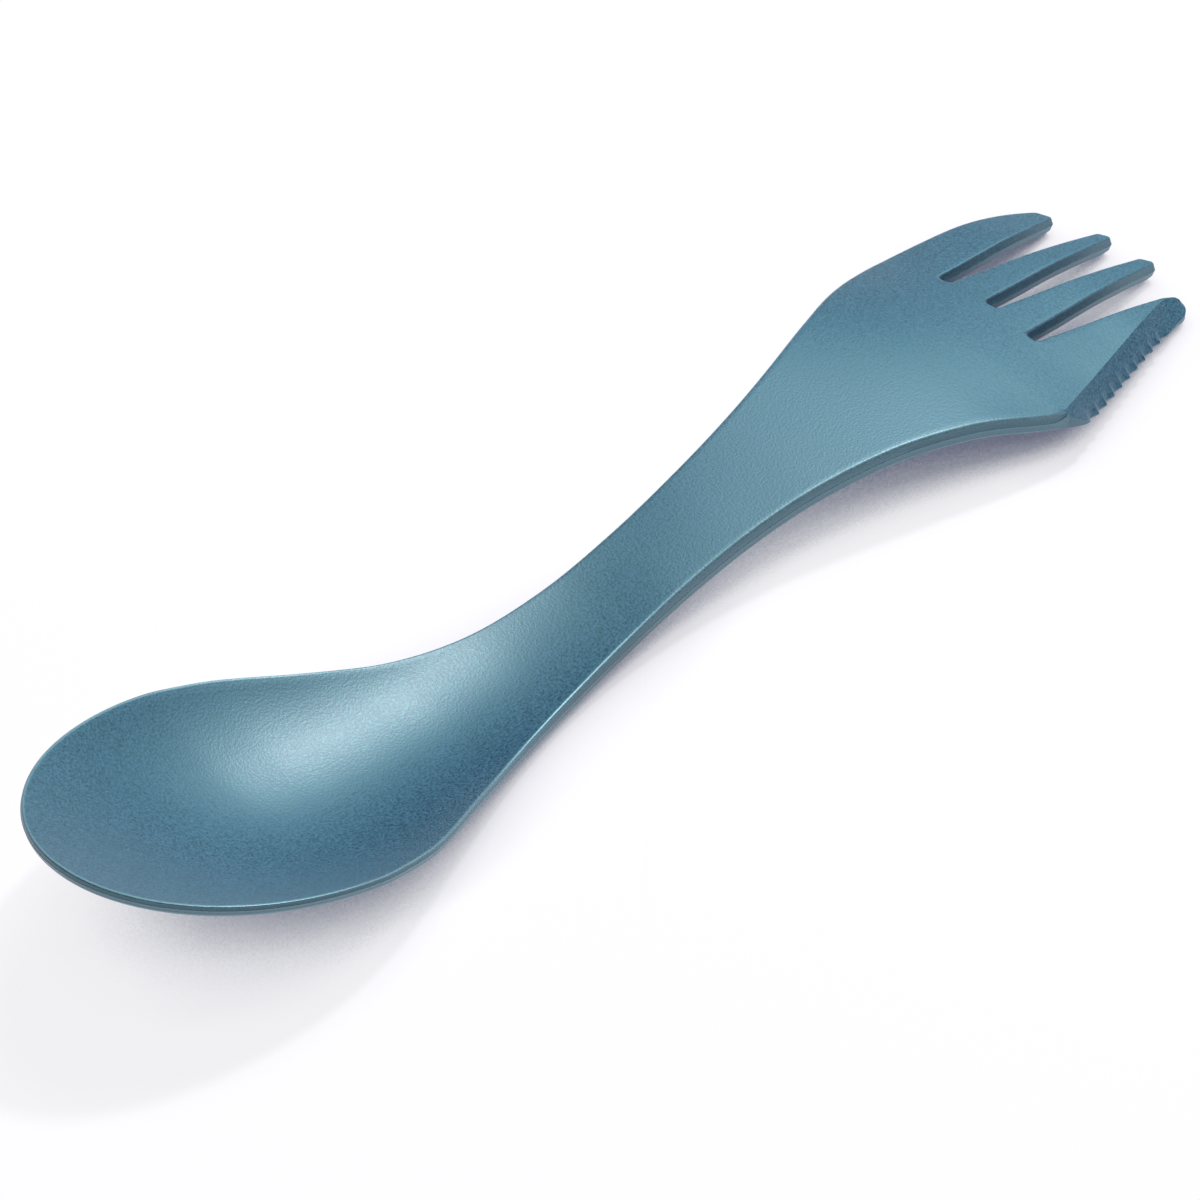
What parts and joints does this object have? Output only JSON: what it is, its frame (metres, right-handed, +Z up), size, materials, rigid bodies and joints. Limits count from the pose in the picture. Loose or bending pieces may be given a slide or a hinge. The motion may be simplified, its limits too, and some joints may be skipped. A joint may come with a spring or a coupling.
{
  "type": "spork",
  "caption": "One-piece moulded plastic camping spork: spoon bowl at one end, waisted S-curved handle, and a fork with one serrated cutting edge at the other.",
  "frame": {"origin": "middle of the length and of the bowl's width, on the table that the spork lies on", "axes": "+X from the spoon tip to the fork, +Y to the left, +Z up out of the spoon's hollow"},
  "size_m": [0.17, 0.038, 0.0215],
  "materials": {
    "blue_plastic": "moulded plastic with a fine spark-eroded grain"
  },
  "bodies": {
    "root": {"spoon_bowl": "blue_plastic", "handle": "blue_plastic", "fork_palm": "blue_plastic", "outer_tine": "blue_plastic", "left_inner_tine": "blue_plastic", "right_inner_tine": "blue_plastic", "knife_tine": "blue_plastic", "serrated_edge": "blue_plastic"}
  },
  "joints": []
}
